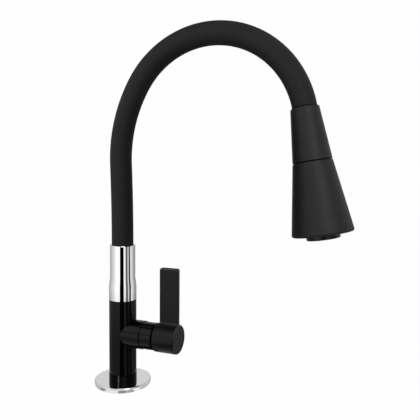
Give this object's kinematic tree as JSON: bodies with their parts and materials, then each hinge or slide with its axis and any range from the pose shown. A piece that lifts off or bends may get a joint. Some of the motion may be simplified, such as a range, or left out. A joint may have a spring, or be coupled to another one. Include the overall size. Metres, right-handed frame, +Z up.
{
  "type": "kitchen tap",
  "caption": "Deck-mounted kitchen tap with a side quarter-turn lever, a turning spout with a bendable sleeved gooseneck, and a two-mode conical spray head.",
  "frame": {"origin": "centre of the flange's underside, where the mounting shank leaves it and the worktop's top face lies", "axes": "+Z up along the shank, the body and the spout's swivel axis; +X along the handle's axis, from the body out to the hub, with the spout pointing the same way; Y across the tap, which is its thin direction"},
  "size_m": [0.2773, 0.062, 0.4384],
  "materials": {
    "polished_chrome": "mirror-polished chrome plate",
    "gloss_black": "smooth gloss black coating on brass",
    "satin_black": "satin black coating on cast metal",
    "matt_black_plastic": "fine satin black moulded plastic",
    "black_plastic": "gloss black moulded plastic",
    "black_silicone": "smooth matt black silicone",
    "grey_silicone": "dark grey soft silicone",
    "black_rubber": "matt black rubber",
    "white_plastic": "plain natural acetal",
    "ceramic": "lapped white ceramic",
    "brass": "turned bare brass",
    "stainless_steel": "turned stainless steel"
  },
  "bodies": {
    "base": {"base_flange": "polished_chrome", "flange_seal": "black_rubber", "mounting_shank": "brass", "rubber_washer": "black_rubber", "steel_washer": "stainless_steel", "lock_nut": "brass", "trim_ring": "gloss_black", "tap_body": "gloss_black", "seat_seal": "black_rubber", "fixed_disc": "ceramic", "cartridge_body": "brass", "cartridge_oring": "black_rubber", "bonnet_ring": "gloss_black", "slip_ring": "white_plastic", "swivel_screw": "stainless_steel"},
    "lever": {"lever_handle": "satin_black", "handle_screw": "stainless_steel", "screw_plug": "black_rubber", "valve_stem": "stainless_steel", "stem_oring": "black_rubber", "stem_clip": "stainless_steel", "moving_disc": "ceramic"},
    "spout": {"swivel_nipple": "brass", "nipple_orings": "black_rubber", "spout_collar": "polished_chrome", "neck_socket": "brass", "neck_sleeve": "black_silicone", "coil_tube": "stainless_steel", "water_hose": "white_plastic"},
    "neck_tip": {"tip_socket": "brass", "spray_nipple": "brass", "filter_washer": "black_rubber", "head_core": "white_plastic", "check_valve": "white_plastic", "upper_shell": "matt_black_plastic", "seam_ring": "black_plastic", "core_oring": "black_rubber"},
    "bell": {"diverter": "white_plastic", "bell_shell": "matt_black_plastic", "spray_face": "black_plastic", "nozzle_pad": "grey_silicone", "outlet_cup": "black_plastic", "aerator_insert": "stainless_steel", "aerator_seal": "black_rubber"}
  },
  "joints": [
    {"name": "spout_swivel", "type": "hinge", "parent": "base", "child": "spout", "pos_m": [0, 0, 0.0945], "axis": [0, 0, 1], "continuous": true},
    {"name": "lever_turn", "type": "hinge", "parent": "base", "child": "lever", "pos_m": [0.055, 0, 0.0572], "axis": [1, 0, 0], "range_deg": [0, 90]},
    {"name": "neck_flex", "type": "hinge", "parent": "spout", "child": "neck_tip", "pos_m": [0.098, 0, 0.319], "axis": [0, 1, 0], "range_deg": [-30, 30], "deforming": ["neck_sleeve", "coil_tube", "water_hose"]},
    {"name": "spray_select", "type": "hinge", "parent": "neck_tip", "child": "bell", "pos_m": [0.19795, 0, 0.29679], "axis": [0.165, 0, -0.9863], "range_deg": [0, 90]}
  ]
}
